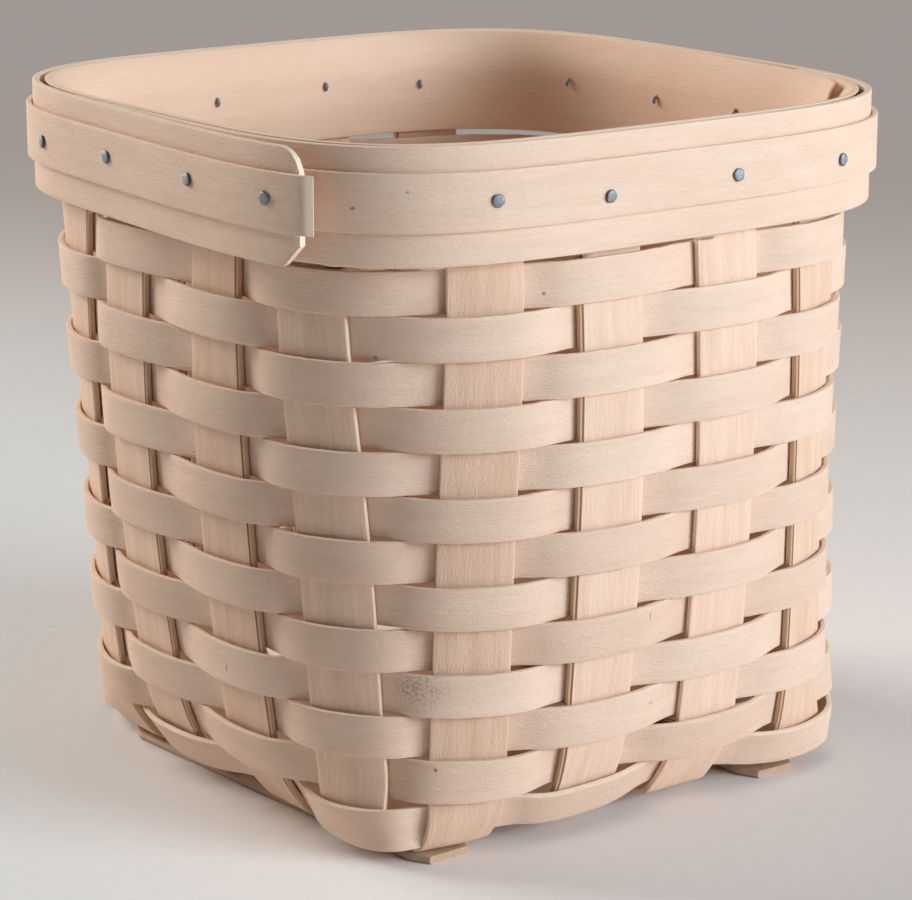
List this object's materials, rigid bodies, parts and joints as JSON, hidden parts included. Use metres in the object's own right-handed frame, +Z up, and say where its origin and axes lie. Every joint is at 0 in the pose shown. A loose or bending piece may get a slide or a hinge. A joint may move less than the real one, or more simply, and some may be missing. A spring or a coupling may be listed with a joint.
{
  "type": "tissue basket",
  "caption": "Open square basket woven from flat wooden splints, with rounded corners and a nailed rim of bent bands; it stands on two flat runners and holds a cube box of tissues.",
  "frame": {"origin": "on the ground under the centre of the rim, which is the bottom centre of the whole basket's box within 1 mm", "axes": "+Z up; -Y is the front wall, -X the left wall, which carries the showing end of the outer rim band"},
  "size_m": [0.1658, 0.1642, 0.1537],
  "materials": {
    "stake_wood": "unvarnished, sanded",
    "weaver_wood": "unvarnished, sanded",
    "rim_wood": "unvarnished, sanded",
    "tack_steel": "blued, dull"
  },
  "bodies": {
    "root": {"stake_front_1": "stake_wood", "stake_front_2": "stake_wood", "stake_front_3": "stake_wood", "stake_front_4": "stake_wood", "stake_side_1": "stake_wood", "stake_side_2": "stake_wood", "stake_side_3": "stake_wood", "stake_side_4": "stake_wood", "runner_left": "stake_wood", "runner_right": "stake_wood", "weaver_01": "weaver_wood", "weaver_02": "weaver_wood", "weaver_03": "weaver_wood", "weaver_04": "weaver_wood", "weaver_05": "weaver_wood", "weaver_06": "weaver_wood", "weaver_07": "weaver_wood", "weaver_08": "weaver_wood", "weaver_09": "weaver_wood", "weaver_10": "weaver_wood", "weaver_11": "weaver_wood", "weaver_12": "weaver_wood", "weaver_13": "weaver_wood", "weaver_rim": "weaver_wood", "band_inner": "rim_wood", "band_outer": "rim_wood", "band_trim": "rim_wood", "tack_01": "tack_steel", "tack_02": "tack_steel", "tack_03": "tack_steel", "tack_04": "tack_steel", "tack_05": "tack_steel", "tack_06": "tack_steel", "tack_07": "tack_steel", "tack_08": "tack_steel", "tack_09": "tack_steel", "tack_10": "tack_steel", "tack_11": "tack_steel", "tack_12": "tack_steel", "tack_13": "tack_steel", "tack_14": "tack_steel", "tack_15": "tack_steel", "tack_16": "tack_steel"}
  },
  "joints": []
}
